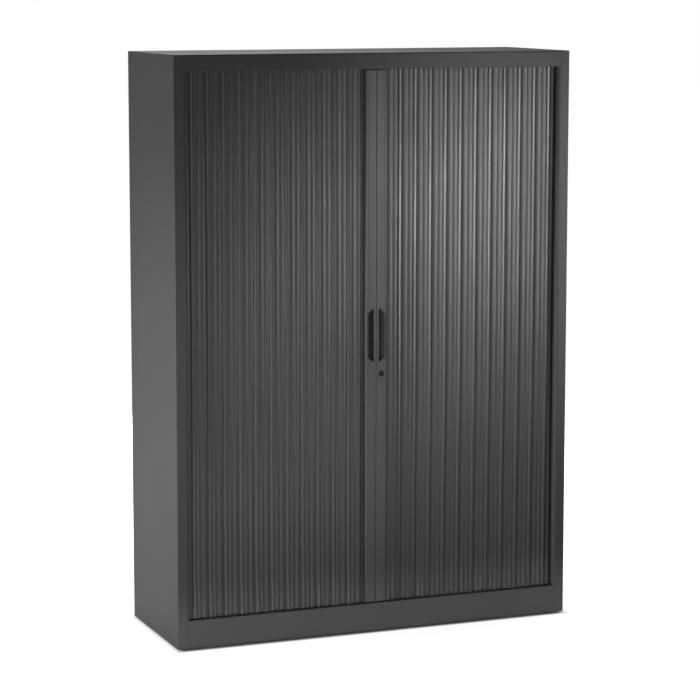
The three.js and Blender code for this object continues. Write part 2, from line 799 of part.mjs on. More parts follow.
function footBracket() {
  const top = baseTop - gauge - seat;
  const fold = bentPath([
    [-bracketHalf, top], [-bracketHalf, bracketLevel, bendRadius], [bracketHalf, bracketLevel, bendRadius],
    [bracketHalf, top],
  ]);
  const channel = prism(band(fold, 0, bracketGauge).map(([x, z]) => [z, x]), -bracketLength / 2, bracketLength / 2,
    alongY);
  const bossTop = bracketLevel + bracketGauge + bossHeight;
  const boss = turned([
    [0, bracketLevel + bracketGauge / 2], [bossRadius, bracketLevel + bracketGauge / 2], [bossRadius, bossTop],
    [0, bossTop],
  ]);
  const bore = stemRadius + stemClearance;
  const hole = turned([
    [0, bracketLevel - overrun], [bore, bracketLevel - overrun], [bore, bossTop + overrun], [0, bossTop + overrun],
  ]);
  return geometryOf(channel.add(boss).subtract(hole));
}

// Assembly: the casing
add('top_panel', topPanel(), bodySteel);
add('top_rail', rail(height - topRailHeight, height - gauge - seat), bodySteel);
add('plinth_rail', rail(floorGap, plinthHeight), bodySteel);
add('base_panel', basePanel(), innerSteel);
add('ceiling_panel', prism(platePlan(), ceilingUnderside, ceilingUnderside + gauge), innerSteel);
add('back_panel', backPanel(), bodySteel);
add('floor_tray', floorTray(), innerSteel);
add('back_liner', backLiner(), innerSteel);
add('lower_centre_stop', centreStop(baseTop + seat), blackPlastic);
add('upper_centre_stop', centreStop(ceilingUnderside - seat - trackHeight), blackPlastic);

// Assembly: what each side has
for (const [name, side] of [['left', -1], ['right', 1]]) {
  add(`${name}_side_panel`, sidePanel(side), bodySteel);
  add(`${name}_liner`, liner(side), innerSteel);
  add(`${name}_lower_track`, lowerTrack(side), blackPlastic);
  add(`${name}_upper_track`, upperTrack(side), blackPlastic);
  add(`${name}_curtain_tail`, curtainTail(side), slatPlastic);
  add(`${name}_curtain`, frontCurtain(side), slatPlastic);
  add(`${name}_leading_stile`, leadingStile(side), leadPlastic);
  add(`${name}_handle_cup`, handleCup(side), blackPlastic);
  add(`${name}_lower_shoe`, glideShoe(side, leadLow, lowerGroove, 1), blackPlastic);
  add(`${name}_upper_shoe`, glideShoe(side, leadHigh, upperGroove, -1), blackPlastic);
}

// Assembly: the lock
add('lock_housing', lockHousing(), lockNickel);
add('lock_barrel', lockBarrel(), lockNickel);
add('lock_nut', lockNut(), zincSteel);
add('lock_cam', lockCam(), zincSteel);
add('lock_cam_screw', camScrew(), zincSteel);
add('lock_striker', lockStriker(), zincSteel);

// Assembly: shelves, each on four clips
const shelfGeometry = shelf();
const clipGeometry = shelfClip();
for (let tier = 1; tier < tiers; tier++) {
  const slotLow = slotRows()[tier * slotRowsPerTier - 1];
  const ledgeLevel = slotLow + seat + clipThickness + clipTab;
  add(`shelf_${tier}`, shelfGeometry, innerSteel, 0, 0, ledgeLevel + seat);
  for (const [corner, side, y] of [
    ['left_front', -1, slotColumns[0]], ['right_front', 1, slotColumns[0]],
    ['left_rear', -1, slotColumns[1]], ['right_rear', 1, slotColumns[1]],
  ]) {
    const clip = add(`shelf_${tier}_clip_${corner}`, clipGeometry, zincSteel, side * linerFace, y, ledgeLevel);
    clip.rotation.z = side < 0 ? Math.PI : 0;
  }
}

// Assembly: the levelling feet
const footGeometry = levellingFoot();
const bracketGeometry = footBracket();
const footNames = ['front_left', 'front_right', 'rear_left', 'rear_right'];
footPlaces().forEach(([x, y], i) => {
  add(`${footNames[i]}_foot`, footGeometry, blackPlastic, x, y, 0);
  add(`${footNames[i]}_foot_bracket`, bracketGeometry, zincSteel, x, y, 0);
});

export default cabinet;
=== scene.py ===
import json
import math

import bmesh
import bpy
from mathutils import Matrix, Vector


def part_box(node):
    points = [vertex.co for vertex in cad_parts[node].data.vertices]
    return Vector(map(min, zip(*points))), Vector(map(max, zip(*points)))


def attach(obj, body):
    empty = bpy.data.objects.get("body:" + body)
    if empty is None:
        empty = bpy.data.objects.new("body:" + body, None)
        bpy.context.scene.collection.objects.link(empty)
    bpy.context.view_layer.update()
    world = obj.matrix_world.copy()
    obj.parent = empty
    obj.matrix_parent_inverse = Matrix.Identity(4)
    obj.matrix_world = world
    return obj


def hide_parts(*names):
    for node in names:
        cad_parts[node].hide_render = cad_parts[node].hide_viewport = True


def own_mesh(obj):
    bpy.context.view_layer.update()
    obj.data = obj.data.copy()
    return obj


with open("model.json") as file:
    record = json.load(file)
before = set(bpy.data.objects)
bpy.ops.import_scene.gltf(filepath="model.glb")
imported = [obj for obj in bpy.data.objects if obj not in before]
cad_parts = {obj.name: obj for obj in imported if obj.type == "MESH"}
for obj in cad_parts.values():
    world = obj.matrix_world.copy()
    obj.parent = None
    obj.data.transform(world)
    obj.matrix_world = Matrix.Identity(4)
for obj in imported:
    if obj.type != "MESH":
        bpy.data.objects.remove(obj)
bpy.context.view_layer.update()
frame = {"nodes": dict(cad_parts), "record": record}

MM = 0.001
SIDES = (("left", -1), ("right", 1))


# Colours and nodes

WHITE = (1, 1, 1, 1)


def linear(hex_colour):
    """An sRGB hex colour as linear RGBA."""
    parts = [int(hex_colour[i:i + 2], 16) / 255 for i in (0, 2, 4)]
    return tuple(c / 12.92 if c <= 0.04045 else ((c + 0.055) / 1.055) ** 2.4 for c in parts) + (1.0,)


def toned(colour, factor):
    """A linear colour made darker or lighter."""
    return tuple(c * factor for c in colour[:3]) + (1.0,)


def grey(level):
    """The grey of a linear level, which also carries a plain value through a ramp."""
    return (level, level, level, 1.0)


def per_metre(width):
    """The scale of a noise or cell pattern whose marks are this many mm wide."""
    return 1000 / width


def fill(tree, target, values):
    """Links or sets a node's inputs, by name or number."""
    for key, value in values.items():
        if isinstance(value, bpy.types.NodeSocket):
            tree.links.new(value, target.inputs[key])
        else:
            target.inputs[key].default_value = value


def node(tree, kind, values=None, stops=(), **settings):
    """Adds a node with its settings, its inputs and, for a ramp, the place and colour of each stop."""
    made = tree.nodes.new(kind)
    for key, value in settings.items():
        setattr(made, key, value)
    fill(tree, made, values or {})
    for number, (place, colour) in enumerate(stops):
        made.color_ramp.elements[number].position = place
        made.color_ramp.elements[number].color = colour
    return made


def material(name):
    """A new material, its nodes, its Principled shader and its object coordinates."""
    made = bpy.data.materials.new(name)
    made.use_nodes = True
    tree = made.node_tree
    return made, tree, tree.nodes["Principled BSDF"], node(tree, "ShaderNodeTexCoord").outputs["Object"]


# Materials. Widths and depths of their patterns are in mm.

def powder_coat(name, hex_colour, roughness, peel_width, peel_depth):
    """Polyester powder, sprayed on steel and baked. The eye gets a matt face with a fine orange peel that
    breaks up the gloss, sparse pale flecks, and a faint cloudy unevenness in tone."""
    made, tree, shader, place = material(name)
    base = linear(hex_colour)
    cloud_width = 385
    fleck_width = peel_width / 1.7
    cloud = node(tree, "ShaderNodeTexNoise", {
        "Vector": place, "Scale": per_metre(cloud_width), "Detail": 4.0, "Roughness": 0.55}).outputs[0]
    fleck = node(tree, "ShaderNodeTexNoise", {
        "Vector": place, "Scale": per_metre(fleck_width), "Detail": 2.0}).outputs[0]
    peel = node(tree, "ShaderNodeTexNoise", {
        "Vector": place, "Scale": per_metre(peel_width), "Detail": 3.0, "Roughness": 0.5}).outputs[0]
    tone = node(tree, "ShaderNodeValToRGB", {0: cloud},
                stops=((0.3, toned(base, 0.955)), (0.72, toned(base, 1.045))))
    shown = node(tree, "ShaderNodeValToRGB", {0: fleck}, stops=((0.62, grey(0.0)), (0.74, grey(0.1))))
    # The colours of a Mix node are its inputs 6 and 7 and its output 2
    flecked = node(tree, "ShaderNodeMix", {
        0: shown.outputs[0], 6: tone.outputs[0], 7: toned(base, 2.2)}, data_type="RGBA")
    gloss = node(tree, "ShaderNodeValToRGB", {0: cloud},
                 stops=((0.35, grey(roughness - 0.03)), (0.65, grey(roughness + 0.04))))
    bump = node(tree, "ShaderNodeBump", {"Height": peel, "Distance": peel_depth * MM, "Strength": 0.6})
    fill(tree, shader, {"Base Color": flecked.outputs[2], "Roughness": gloss.outputs[0],
                        "Normal": bump.outputs[0], "Specular IOR Level": 0.45})
    return made


def extruded(name, hex_colour, roughness):
    """Plastic pressed through a die. The eye gets draw lines along the height and a soft satin gloss that
    varies in broad patches. Real draw lines are a tenth as wide, too fine to show."""
    made, tree, shader, place = material(name)
    base = linear(hex_colour)
    line_width, line_length, line_depth = 1.111, 3300, 0.015
    patch_width = 294
    along = node(tree, "ShaderNodeMapping", {
        "Vector": place, "Scale": (per_metre(line_width), per_metre(line_width), per_metre(line_length))})
    lines = node(tree, "ShaderNodeTexNoise", {
        "Vector": along.outputs[0], "Scale": 1.0, "Detail": 3.0, "Roughness": 0.6}).outputs[0]
    patch = node(tree, "ShaderNodeTexNoise", {
        "Vector": place, "Scale": per_metre(patch_width), "Detail": 3.0}).outputs[0]
    mixed = node(tree, "ShaderNodeMath", {0: lines, 1: patch}, operation="ADD")
    tone = node(tree, "ShaderNodeValToRGB", {0: mixed.outputs[0]},
                stops=((0.7, toned(base, 0.93)), (1.0, toned(base, 1.07))))
    gloss = node(tree, "ShaderNodeValToRGB", {0: patch},
                 stops=((0.35, grey(roughness - 0.03)), (0.65, grey(roughness + 0.05))))
    bump = node(tree, "ShaderNodeBump", {"Height": lines, "Distance": line_depth * MM, "Strength": 0.5})
    fill(tree, shader, {"Base Color": tone.outputs[0], "Roughness": gloss.outputs[0],
                        "Normal": bump.outputs[0], "Specular IOR Level": 0.5})
    return made


def moulded(name, hex_colour, roughness):
    """Plastic moulded in a spark-eroded tool. The eye gets a dull even grain, and paler, slightly shinier
    patches where hands have worn it. The real grain is under 0.1 mm, too fine to show."""
    made, tree, shader, place = material(name)
    base = linear(hex_colour)
    grain_width, grain_depth = 0.667, 0.05
    wear_width = 38.5
    grain = node(tree, "ShaderNodeTexVoronoi", {"Vector": place, "Scale": per_metre(grain_width)})
    wear = node(tree, "ShaderNodeTexNoise", {
        "Vector": place, "Scale": per_metre(wear_width), "Detail": 4.0}).outputs[0]
    tone = node(tree, "ShaderNodeValToRGB", {0: wear}, stops=((0.35, base), (0.7, toned(base, 1.5))))
    gloss = node(tree, "ShaderNodeValToRGB", {0: wear},
                 stops=((0.35, grey(roughness + 0.05)), (0.7, grey(roughness - 0.1))))
    bump = node(tree, "ShaderNodeBump", {
        "Height": grain.outputs[0], "Distance": grain_depth * MM, "Strength": 0.6})
    fill(tree, shader, {"Base Color": tone.outputs[0], "Roughness": gloss.outputs[0],
                        "Normal": bump.outputs[0]})
    return made


def plated(name, hex_colour, roughness, cloud_width):
    """Rolled steel, plated in a bath. The eye gets a metal gloss, broken by rolling lines, over cloudy
    patches. Real rolling lines are a tenth as wide, too fine to show."""
    made, tree, shader, place = material(name)
    base = linear(hex_colour)
    line_length, line_width, line_depth = 16.7, 0.714, 0.03
    cloud = node(tree, "ShaderNodeTexNoise", {
        "Vector": place, "Scale": per_metre(cloud_width), "Detail": 5.0, "Roughness": 0.6})
    along = node(tree, "ShaderNodeMapping", {
        "Vector": place, "Scale": (per_metre(line_length), per_metre(line_width), per_metre(line_width))})
    lines = node(tree, "ShaderNodeTexNoise", {
        "Vector": along.outputs[0], "Scale": 1.0, "Detail": 2.0}).outputs[0]
    tone = node(tree, "ShaderNodeValToRGB", {0: cloud.outputs[0]},
                stops=((0.3, toned(base, 0.82)), (0.7, toned(base, 1.12))))
    gloss = node(tree, "ShaderNodeValToRGB", {0: lines},
                 stops=((0.3, grey(roughness - 0.05)), (0.7, grey(roughness + 0.1))))
    bump = node(tree, "ShaderNodeBump", {"Height": lines, "Distance": line_depth * MM, "Strength": 0.5})
    fill(tree, shader, {"Base Color": tone.outputs[0], "Roughness": gloss.outputs[0],
                        "Normal": bump.outputs[0], "Metallic": 1.0})
    return made


CASING = powder_coat("anthracite_powder_coat", "464647", roughness=0.5, peel_width=1.389, peel_depth=0.12)
INNER = powder_coat("anthracite_inner_coat", "4c4c4d", roughness=0.5, peel_width=1.563, peel_depth=0.1)
SLATS = extruded("extruded_polypropylene_slats", "444445", roughness=0.345)
STILES = extruded("extruded_vinyl_stiles", "4e4e4f", roughness=0.34)
# The cups' grey is darker than the stiles': painted shade in the cups' recesses
CUPS_DARKENED_AS_SHADE = moulded("moulded_abs_cups_painted_shade", "3a3a3b", roughness=0.5)
GLIDES = moulded("moulded_nylon_glides", "17181a", roughness=0.6)
ZINC = plated("bright_zinc_plate", "a4a7aa", roughness=0.36, cloud_width=16.7)
NICKEL = plated("dark_nickel_plate", "3c3d40", roughness=0.4, cloud_width=6.25)
BLACK_NICKEL = plated("black_nickel_plate", "242528", roughness=0.42, cloud_width=6.25)


# Meshes

SAME_PLACE = 1e-7  # points this close are one point


def mesh_object(name, points, faces, finish, body, smooth=40):
    """A mesh piece on a body, its faces turned outwards, shaded smooth up to an angle in degrees."""
    mesh = bpy.data.meshes.new(name)
    mesh.from_pydata(points, [], faces)
    made = bmesh.new()
    made.from_mesh(mesh)
    bmesh.ops.remove_doubles(made, verts=made.verts, dist=SAME_PLACE)
    bmesh.ops.recalc_face_normals(made, faces=made.faces)
    for edge in made.edges:
        edge.smooth = len(edge.link_faces) == 2 and edge.calc_face_angle(0) < math.radians(smooth)
    for face in made.faces:
        face.smooth = True
    made.to_mesh(mesh)
    made.free()
    mesh.materials.append(finish)
    piece = bpy.data.objects.new(name, mesh)
    bpy.context.collection.objects.link(piece)
    if body:
        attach(piece, body)
    return piece


def extrusion(outline, low, high):
    """Points and faces of a plan outline drawn up from low to high."""
    count = len(outline)
    points = [(x, y, low) for x, y in outline] + [(x, y, high) for x, y in outline]
    faces = [tuple(range(count - 1, -1, -1)), tuple(range(count, 2 * count))]
    faces += [(i, (i + 1) % count, count + (i + 1) % count, count + i) for i in range(count)]
    return points, faces


def revolved(profile, place, axis, sides):
    """Points and faces of a closed profile of [radius, level], in mm, turned about the Y or Z axis
    through a place."""
    points = []
    for turn in range(sides):
        angle = 2 * math.pi * turn / sides
        for radius, level in profile:
            x, across = radius * math.cos(angle), radius * math.sin(angle)
            point = (x, across, level) if axis == "z" else (x, level, across)
            points.append(tuple(Vector(place) + Vector(point) * MM))
    count = len(profile)
    faces = []
    for turn in range(sides):
        here, there = turn * count, (turn + 1) % sides * count
        for i in range(count):
            j = (i + 1) % count
            if profile[i][0] or profile[j][0]:
                faces.append((here + i, here + j, there + j, there + i))
    return points, faces


def settle(piece, finish):
    """Turns a piece's modifiers into its plain mesh."""
    bpy.context.view_layer.update()
    mesh = bpy.data.meshes.new_from_object(piece.evaluated_get(bpy.context.evaluated_depsgraph_get()))
    piece.modifiers.clear()
    piece.data = mesh
    mesh.materials.clear()
    mesh.materials.append(finish)
    bpy.context.view_layer.update()


def repeat_along(piece, count, offset, finish, group_name):
    """Repeats a piece along a line by Geometry Nodes, with the count and the offset as named inputs."""
    group = bpy.data.node_groups.new(group_name, "GeometryNodeTree")
    for name, way, kind in (("Geometry", "INPUT", "NodeSocketGeometry"),
                            ("Count", "INPUT", "NodeSocketInt"),
                            ("Offset", "INPUT", "NodeSocketVector"),
                            ("Geometry", "OUTPUT", "NodeSocketGeometry")):
        group.interface.new_socket(name=name, in_out=way, socket_type=kind)
    inlet = node(group, "NodeGroupInput").outputs
    line = node(group, "GeometryNodeMeshLine", {"Count": inlet["Count"], "Offset": inlet["Offset"]})
    spread = node(group, "GeometryNodeInstanceOnPoints", {
        "Points": line.outputs[0], "Instance": inlet["Geometry"]})
    real = node(group, "GeometryNodeRealizeInstances", {0: spread.outputs[0]})
    clad = node(group, "GeometryNodeSetMaterial", {"Geometry": real.outputs[0], "Material": finish})
    node(group, "NodeGroupOutput", {0: clad.outputs[0]})
    modifier = piece.modifiers.new(group_name, "NODES")
    modifier.node_group = group
    sizes = {"Count": count, "Offset": offset}
    for item in group.interface.items_tree:
        if item.in_out == "INPUT" and item.name in sizes:
            modifier[item.identifier] = sizes[item.name]
    settle(piece, finish)


# Curtains. The right one is drawn, and the left one is its mirror image.

# One slat's outside face, from hinge to hinge: the share of the pitch and the height above the valley in
# mm. The hinge groove comes first, then two flat-topped ribs, the joint bead and the groove behind it.
SLAT = [(0.0, 0.8), (0.012, 0.9), (0.03, 1.3), (0.06, 1.9), (0.1, 2.35), (0.16, 2.55), (0.22, 2.5),
        (0.258, 2.3), (0.282, 1.7), (0.308, 1.25), (0.335, 1.1), (0.358, 1.25), (0.388, 1.9),
        (0.425, 2.35), (0.48, 2.55), (0.545, 2.5), (0.583, 2.3), (0.607, 1.7), (0.633, 1.15),
        (0.656, 1.0), (0.677, 1.2), (0.7, 2.5), (0.727, 3.8), (0.76, 4.4), (0.8, 4.15),
        (0.845, 3.75), (0.885, 3.3), (0.907, 2.6), (0.925, 1.6), (0.94, 1.05), (0.952, 0.8),
        (0.96, -0.6), (0.985, -0.6), (0.992, 0.8)]
STEPS = 3  # points drawn for each given one
PITCH = 46.5 * MM
FRONT_SLATS = 11
TAIL_SLATS = 4
VALLEY = 1.2 * MM  # foot of the ribs, outside the line on which the slats bend
BACK = 3.4 * MM  # inside face, on the other side of that line
BEAD = max(height for share, height in SLAT) * MM
NOTCH_DEPTH = 1.2 * MM
NOTCH_SHARE = 0.05  # half the notch's width, as a share of the pitch
SEAT = 0.3 * MM  # gap between two pieces side by side
curtain_low, curtain_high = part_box("right_curtain")
stile_low, stile_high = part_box("right_leading_stile")
FIRST_HINGE = curtain_high.x - FRONT_SLATS * PITCH
FRONT_LINE = curtain_low.y + VALLEY + BEAD
SIDE_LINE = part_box("right_curtain_tail")[1].x - VALLEY - BEAD
CORNER = 35 * MM  # radius of the tracks' turn
CORNER_START = SIDE_LINE - CORNER

# The plain leaf between the leading stile and the first hinge, and the hook on it that the stile holds
HOOK_INNER = curtain_low.x
HOOK_OUTER = HOOK_INNER + 2.4 * MM
HOOK_END = curtain_high.y
LEAF_START = stile_high.x + SEAT
NECK = 1.2 * MM  # half the thickness of the leaf in the stile's slot
# The leaf's shoulders: distance in from its start or its hinge, and height above the valley
START_SHOULDER = [(0, 0), (1.2 * MM, 1.6 * MM), (3.0 * MM, 2.0 * MM)]
HINGE_SHOULDER = [(2.6 * MM, 2.0 * MM), (1.0 * MM, 0), (0, 0)]


def eased(values, steps):
    """A row of points with more between them, on a smooth curve that never overshoots."""
    slopes = [0.0]
    for (x0, y0), (x1, y1), (x2, y2) in zip(values, values[1:], values[2:]):
        before, after = (y1 - y0) / (x1 - x0), (y2 - y1) / (x2 - x1)
        slopes.append(0.0 if before * after <= 0 else 2 * before * after / (before + after))
    slopes.append(0.0)
    out = []
    for (x0, y0), (x1, y1), m0, m1 in zip(values, values[1:], slopes, slopes[1:]):
        width = x1 - x0
        for k in range(steps):
            t = k / steps
            level = (2 * t ** 3 - 3 * t ** 2 + 1) * y0 + (3 * t ** 2 - 2 * t ** 3) * y1
            lean = (t ** 3 - 2 * t ** 2 + t) * m0 + (t ** 3 - t ** 2) * m1
            out.append((x0 + width * t, level + lean * width))
    return out


FINE_SLAT = eased(SLAT, STEPS)


def on_run(run, out):
    """A point of the right curtain, from its distance along the run and its height outside the bending
    line: straight along the front, round the corner and straight back along the side."""
    if run <= CORNER_START:
        return run, FRONT_LINE - out
    turned = (run - CORNER_START) / CORNER
    if turned <= math.pi / 2:
        radius = CORNER + out
        return CORNER_START + radius * math.sin(turned), FRONT_LINE + CORNER - radius * math.cos(turned)
    past = run - CORNER_START - CORNER * math.pi / 2
    return SIDE_LINE + out, FRONT_LINE + CORNER + past


def slat_stretch(first, count):
    """Outline of whole slats along the run: ribbed outside, plain inside with a notch at each hinge
    between two slats."""
    last = first + count * PITCH
    outline = []
    for slat in range(count):
        for share, height in FINE_SLAT:
            outline.append(on_run(first + (slat + share) * PITCH, VALLEY + height * MM))
    outline += [on_run(last, VALLEY), on_run(last, -BACK)]
    for slat in range(count - 1, -1, -1):
        for share in (0.8, 0.6, 0.4, 0.2, NOTCH_SHARE):
            outline.append(on_run(first + (slat + share) * PITCH, -BACK))
        if slat:
            outline.append(on_run(first + slat * PITCH, -BACK + NOTCH_DEPTH))
            outline.append(on_run(first + (slat - NOTCH_SHARE) * PITCH, -BACK))
    outline.append(on_run(first, -BACK))
    return outline


def leaf_outline():
    """Outline of the leaf, from its inside face round the hook and over the outside to the hinge."""
    inside, outside = FRONT_LINE + BACK, FRONT_LINE - VALLEY
    outline = [(LEAF_START, inside), (LEAF_START, FRONT_LINE + NECK), (HOOK_OUTER, FRONT_LINE + NECK),
               (HOOK_OUTER, HOOK_END), (HOOK_INNER, HOOK_END), (HOOK_INNER, FRONT_LINE - NECK),
               (LEAF_START, FRONT_LINE - NECK)]
    outline += [(LEAF_START + run, outside - height) for run, height in START_SHOULDER]
    outline += [(FIRST_HINGE - run, outside - height) for run, height in HINGE_SHOULDER]
    outline.append((FIRST_HINGE, inside))
    return outline


def curtain_mesh(name, outline, side, body, smooth):
    """A piece of curtain on the left or right side, drawn up over the curtain's full height."""
    mirrored = [(side * x, y) for x, y in outline]
    return mesh_object(name, *extrusion(mirrored, curtain_low.z, curtain_high.z), SLATS, body, smooth)


for name, side in SIDES:
    # One slat is drawn and repeated along the front
    curtain = curtain_mesh(f"{name}_slat_curtain", slat_stretch(FIRST_HINGE, 1), side, None, smooth=50)
    repeat_along(curtain, FRONT_SLATS, (side * PITCH, 0, 0), SLATS, f"{name}_slats")
    leaf = curtain_mesh(f"{name}_curtain_leaf", leaf_outline(), side, None, smooth=40)
    for piece in (curtain, leaf):
        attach(piece, f"{name}_door")
        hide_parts(f"{name}_curtain")
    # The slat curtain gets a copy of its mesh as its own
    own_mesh(curtain)
    # The tail starts a seat's width past the last front slat and stays in place
    tail_start = FIRST_HINGE + FRONT_SLATS * PITCH + SEAT
    tail = curtain_mesh(f"{name}_slat_tail", slat_stretch(tail_start, TAIL_SLATS), side, "carcass", smooth=50)
    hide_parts(f"{name}_curtain_tail")


# Lock. Its ring stands out of the right leading stile, and its sleeve goes into it.

FACE = stile_low.y
# Radius and depth behind the stile's face, in mm: a rounded ring, its step, and the sleeve
RING = [(6.3, -1.6), (6.7, -1.75), (8.3, -1.6), (9.1, -1.1), (9.5, -0.5), (9.5, -0.3), (8.0, -0.3),
        (8.0, 12.0), (6.3, 12.0)]
lock_low, lock_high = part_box("lock_housing")
lock_place = ((lock_low.x + lock_high.x) / 2, FACE, (lock_low.z + lock_high.z) / 2)
housing = mesh_object("lock_rose", *revolved(RING, lock_place, axis="y", sides=64), NICKEL, "right_door",
                      smooth=35)
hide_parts("lock_housing")


# Lips of the handle cups. Each is a rounded bead that stands a little proud of the stile.

CUP_WALL = 0.9 * MM
CUP_CUT = 17 * MM  # the two corners away from the seam, cut off at 45 degrees
# Distance outside the mouth and depth behind the stile's face, in mm
LIP = [(0.1, 0.25), (0.15, -0.25), (0.35, -0.55), (0.65, -0.68), (0.95, -0.55), (1.2, -0.2), (1.25, 0.25)]


def offset_loop(loop, distance):
    """A closed loop of corners moved outwards, its corners mitred."""
    out = []
    for i, corner in enumerate(loop):
        before = (Vector(corner) - Vector(loop[i - 1])).normalized()
        after = (Vector(loop[(i + 1) % len(loop)]) - Vector(corner)).normalized()
        middle = Vector((before.y + after.y, -before.x - after.x))
        middle /= middle.dot(Vector((before.y, -before.x)))
        out.append((corner[0] + middle.x * distance, corner[1] + middle.y * distance))
    return out


def cup_mouth():
    """Outline of the right cup's mouth in x and z, inside its wall."""
    cup_low, cup_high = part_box("right_handle_cup")
    inner, outer = cup_low.x + CUP_WALL, cup_high.x - CUP_WALL
    low, high = cup_low.z + CUP_WALL, cup_high.z - CUP_WALL
    return [(inner, low), (outer - CUP_CUT, low), (outer, low + CUP_CUT),
            (outer, high - CUP_CUT), (outer - CUP_CUT, high), (inner, high)]


for name, side in SIDES:
    points, faces = [], []
    for reach, depth in LIP:
        points += [(side * x, FACE + depth * MM, z) for x, z in offset_loop(cup_mouth(), reach * MM)]
    rows = len(LIP)
    around = len(points) // rows
    for row in range(rows):
        here, there = row * around, (row + 1) % rows * around
        for k in range(around):
            after = (k + 1) % around
            faces.append((here + k, here + after, there + after, there + k))
    lip = mesh_object(f"{name}_cup_lip", points, faces, CUPS_DARKENED_AS_SHADE, f"{name}_door", smooth=35)


# Levelling feet. Radius and height above the floor, in mm.

PAD = [(0, 0), (19.6, 0), (20.7, 0.5), (21, 1.4), (21, 2.6), (20.2, 3.2), (12, 6.2), (9.4, 7.2),
       (9, 7.8), (9, 13.2), (8.4, 14), (5, 14)]
STEM_END = [(5, 55), (4.6, 55.6), (4.6, 57.6), (4.3, 58), (0, 58)]
THREAD_START = 15
THREAD_END = 54
THREAD_PITCH = 1
CREST, ROOT = 5.0, 4.45

thread = []
for turn in range((THREAD_END - THREAD_START) // THREAD_PITCH):
    level = THREAD_START + turn * THREAD_PITCH
    thread += [(CREST, level), (ROOT, level + THREAD_PITCH / 2)]
for name in ("front_left", "front_right", "rear_left", "rear_right"):
    foot_low, foot_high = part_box(f"{name}_foot")
    foot_place = ((foot_low.x + foot_high.x) / 2, (foot_low.y + foot_high.y) / 2, foot_low.z)
    foot = mesh_object(f"{name}_levelling_foot",
                       *revolved(PAD + thread + STEM_END, foot_place, axis="z", sides=40), ZINC,
                       f"{name}_foot", smooth=30)
    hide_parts(f"{name}_foot")


# Screws of the back, in a row up the rear fold of each side panel

SCREW_RADIUS = 3.6 * MM
SCREW_HEIGHT = 1.8 * MM
SCREW_INSET = 10 * MM  # from the cabinet's side
LOWEST_SCREW = 80 * MM
SCREW_SPACING = 250 * MM
SCREW_ROWS = 7
RIM_POINTS = 24


def pan_head(place):
    """Points and faces of a pan head with a cross recess, standing out backwards from a place."""
    made = bmesh.new()
    # The dome, as shares of the radius and the height
    rings = []
    for width, level in ((1, 0), (0.98, 0.45), (0.8, 0.82), (0.45, 1)):
        ring = []
        for k in range(RIM_POINTS):
            angle = 2 * math.pi * k / RIM_POINTS
            ring.append(made.verts.new((width * SCREW_RADIUS * math.cos(angle),
                                        width * SCREW_RADIUS * math.sin(angle), level * SCREW_HEIGHT)))
        rings.append(ring)
    for lower, upper in zip(rings, rings[1:]):
        for k in range(RIM_POINTS):
            after = (k + 1) % RIM_POINTS
            made.faces.new((lower[k], lower[after], upper[after], upper[k]))
    # A quarter of the cross, and the same turned three times
    arm, half_width = 0.42 * SCREW_RADIUS, 0.12 * SCREW_RADIUS
    cross = [(half_width, arm), (half_width, half_width), (arm, half_width)]
    for quarter in range(3):
        cross += [(y, -x) for x, y in cross[-3:]]
    corners = len(cross)
    mouth = [made.verts.new((x, y, SCREW_HEIGHT)) for x, y in cross]
    # The recess narrows a little and reaches down past half the height
    bottom = [made.verts.new((x * 0.9, y * 0.9, SCREW_HEIGHT * 0.45)) for x, y in cross]
    edges = [made.edges.new((mouth[k], mouth[(k + 1) % corners])) for k in range(corners)]
    edges += [made.edges.get((rings[-1][k], rings[-1][(k + 1) % RIM_POINTS])) for k in range(RIM_POINTS)]
    bmesh.ops.triangle_fill(made, use_beauty=True, edges=edges)
    for k in range(corners):
        after = (k + 1) % corners
        made.faces.new((mouth[k], mouth[after], bottom[after], bottom[k]))
    made.faces.new(bottom)
    made.faces.new(list(reversed(rings[0])))
    turn = Vector((0, 0, 1)).rotation_difference(Vector((0, 1, 0))).to_matrix()
    made.verts.index_update()
    points = [tuple(turn @ vertex.co + Vector(place)) for vertex in made.verts]
    faces = [tuple(vertex.index for vertex in face.verts) for face in made.faces]
    made.free()
    return points, faces


rear_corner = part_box("right_side_panel")[1]
points, faces = [], []
for side in (-1, 1):
    head, head_faces = pan_head((side * (rear_corner.x - SCREW_INSET), rear_corner.y, LOWEST_SCREW))
    faces += [tuple(i + len(points) for i in face) for face in head_faces]
    points += head
back_screws = mesh_object("back_panel_screws", points, faces, CASING, None, smooth=35)
repeat_along(back_screws, SCREW_ROWS, (0, 0, SCREW_SPACING), CASING, "back_screw_rows")
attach(back_screws, "carcass")


# Finishes on the frame's own solids

finishes = {"body_steel": CASING, "inner_steel": INNER, "slats": SLATS, "leading_stiles": STILES,
            "handle_cups": CUPS_DARKENED_AS_SHADE, "glides": GLIDES, "lock": NICKEL, "zinc_steel": ZINC, "feet": ZINC}
slot_of = {part["node"]: part["material_slot"] for part in frame["record"]["subparts"]}
for name, piece in frame["nodes"].items():
    piece.data.materials.clear()
    piece.data.materials.append(BLACK_NICKEL if name == "lock_barrel" else finishes[slot_of[name]])


# Floor and background

MIRRORED = 0.2  # how much of the white the gloss shows: little, as the photo's dark faces stay dark
FLOOR_REACH = 30
FLOOR_LEVEL = -0.5 * MM
# Leaving the glow out there darkens the floor at the cabinet's foot: painted shade on top of the real shadow
PAINTED_SHADOW_MARGIN = 20 * MM  # the floor doesn't glow under the cabinet, nor this far round it
# The floor's glow rises from the cabinet to the horizon, with distances in half widths of the dark patch
NEAR, FAR = 1.5, 8.0
NEAR_GLOW, FAR_GLOW = 0.86, 1.0


